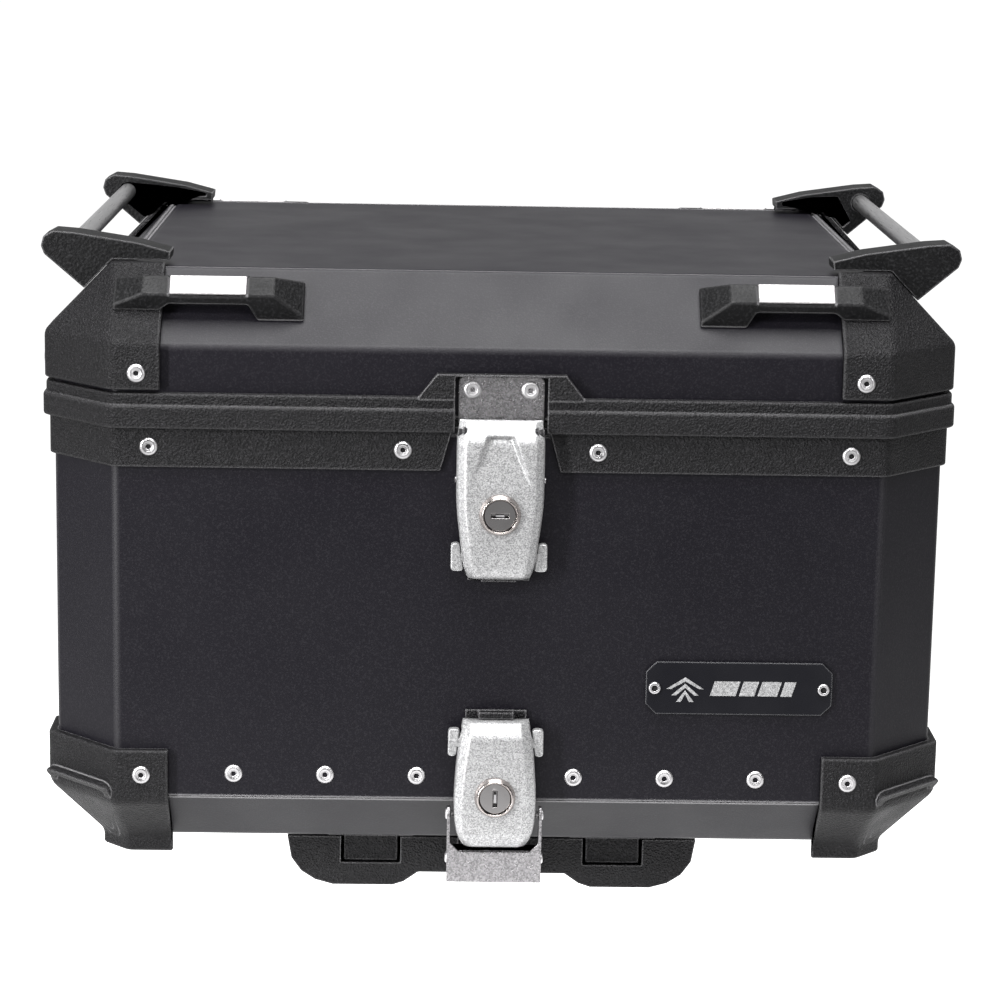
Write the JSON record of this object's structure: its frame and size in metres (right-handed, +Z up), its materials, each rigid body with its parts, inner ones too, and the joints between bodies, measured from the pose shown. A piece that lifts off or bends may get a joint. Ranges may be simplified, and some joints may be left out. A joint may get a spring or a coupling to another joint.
{
  "type": "motorcycle top case",
  "caption": "Sheet aluminium motorcycle top case with bevelled hinged lid, moulded corner guards, side handles, strap loops, two locking latches and a base plate it clips onto.",
  "frame": {"origin": "centre of the base plate's mounting boss, on its underside", "axes": "+X to the right, -Y towards the latch side, +Z up"},
  "size_m": [0.448, 0.3872, 0.3312],
  "materials": {
    "powder_coat": "aluminium sheet in fine satin black powder coat",
    "black_plastic": "fine grained moulded black plastic",
    "rubber": "matt black rubber",
    "steel": "bright galvanised steel",
    "die_cast": "silver sparkle paint on die casting",
    "chrome": "polished nickel plating",
    "tube": "brushed dark grey aluminium",
    "reflector": "white retroreflective insert",
    "emblem": "semi gloss black plate"
  },
  "bodies": {
    "base_plate": {"base_plate": "black_plastic", "plate_striker": "steel", "plate_pad_left": "rubber", "plate_pad_right": "rubber"},
    "case": {"body_rim": "black_plastic", "bottom_corner_fl": "black_plastic", "bottom_corner_fr": "black_plastic", "bottom_corner_rl": "black_plastic", "bottom_corner_rr": "black_plastic", "bottom_tray": "powder_coat", "emblem_plate": "emblem", "floor_mat": "rubber", "foot_fl": "black_plastic", "foot_fr": "black_plastic", "foot_rl": "black_plastic", "foot_rr": "black_plastic", "hinge_leaf_body": "steel", "hinge_pin": "steel", "lower_latch_base": "black_plastic", "rim_seal": "rubber", "underside_plate": "steel", "upper_latch_base": "black_plastic", "wall_sheet": "powder_coat"},
    "lid": {"handle_bracket_fl": "black_plastic", "handle_bracket_fr": "black_plastic", "handle_bracket_rl": "black_plastic", "handle_bracket_rr": "black_plastic", "handle_tube_left": "tube", "handle_tube_right": "tube", "hinge_leaf_lid": "steel", "lid_corner_fl": "black_plastic", "lid_corner_fr": "black_plastic", "lid_corner_rl": "black_plastic", "lid_corner_rr": "black_plastic", "lid_rim": "black_plastic", "lid_shell": "powder_coat", "reflector_fl": "reflector", "reflector_fr": "reflector", "reflector_rl": "reflector", "reflector_rr": "reflector", "striker_bracket": "steel", "tie_down_fl": "black_plastic", "tie_down_fr": "black_plastic", "tie_down_rl": "black_plastic", "tie_down_rr": "black_plastic"},
    "upper_lever": {"upper_latch_cover": "die_cast", "upper_lock_bezel": "chrome", "upper_cross_pin": "steel"},
    "upper_plug": {"upper_lock_plug": "chrome"},
    "upper_release": {"upper_release_slider": "die_cast"},
    "lower_lever": {"lower_latch_cover": "die_cast", "lower_lock_bezel": "chrome"},
    "lower_link": {"lower_link": "steel"},
    "lower_plug": {"lower_lock_plug": "chrome"},
    "lower_release": {"lower_release_slider": "die_cast"}
  },
  "joints": [
    {"name": "case_release", "type": "slide", "parent": "base_plate", "child": "case", "axis": [0, -0.766, 0.6428], "range_m": [0, 0.12]},
    {"name": "lid_hinge", "type": "hinge", "parent": "case", "child": "lid", "pos_m": [0, 0.187, 0.2445], "axis": [-1, 0, 0], "range_deg": [0, 95]},
    {"name": "upper_latch", "type": "hinge", "parent": "case", "child": "upper_lever", "pos_m": [0, -0.187, 0.244], "axis": [-1, 0, 0], "range_deg": [0, 90]},
    {"name": "upper_lock", "type": "hinge", "parent": "upper_lever", "child": "upper_plug", "pos_m": [0, -0.19, 0.2057], "axis": [0, -1, 0], "range_deg": [0, 90]},
    {"name": "upper_release", "type": "slide", "parent": "upper_lever", "child": "upper_release", "axis": [0, 0, -1], "range_m": [0, 0.0038], "stiffness_N_per_m": 700, "springref_m": -0.002},
    {"name": "lower_latch", "type": "hinge", "parent": "case", "child": "lower_lever", "pos_m": [0, -0.187, 0.046], "axis": [1, 0, 0], "range_deg": [0, 90]},
    {"name": "lower_link_pivot", "type": "hinge", "parent": "lower_lever", "child": "lower_link", "pos_m": [0, -0.1845, 0.056], "axis": [-1, 0, 0], "range_deg": [0, 125]},
    {"name": "lower_lock", "type": "hinge", "parent": "lower_lever", "child": "lower_plug", "pos_m": [0, -0.19, 0.0668], "axis": [0, -1, 0], "range_deg": [0, 90]},
    {"name": "lower_release", "type": "slide", "parent": "lower_lever", "child": "lower_release", "axis": [0, 0, 1], "range_m": [0, 0.0038], "stiffness_N_per_m": 700, "springref_m": -0.002}
  ],
  "couplings": [
    {"joint": "lower_link_pivot", "follows": "lower_latch", "ratio": 1.3}
  ]
}
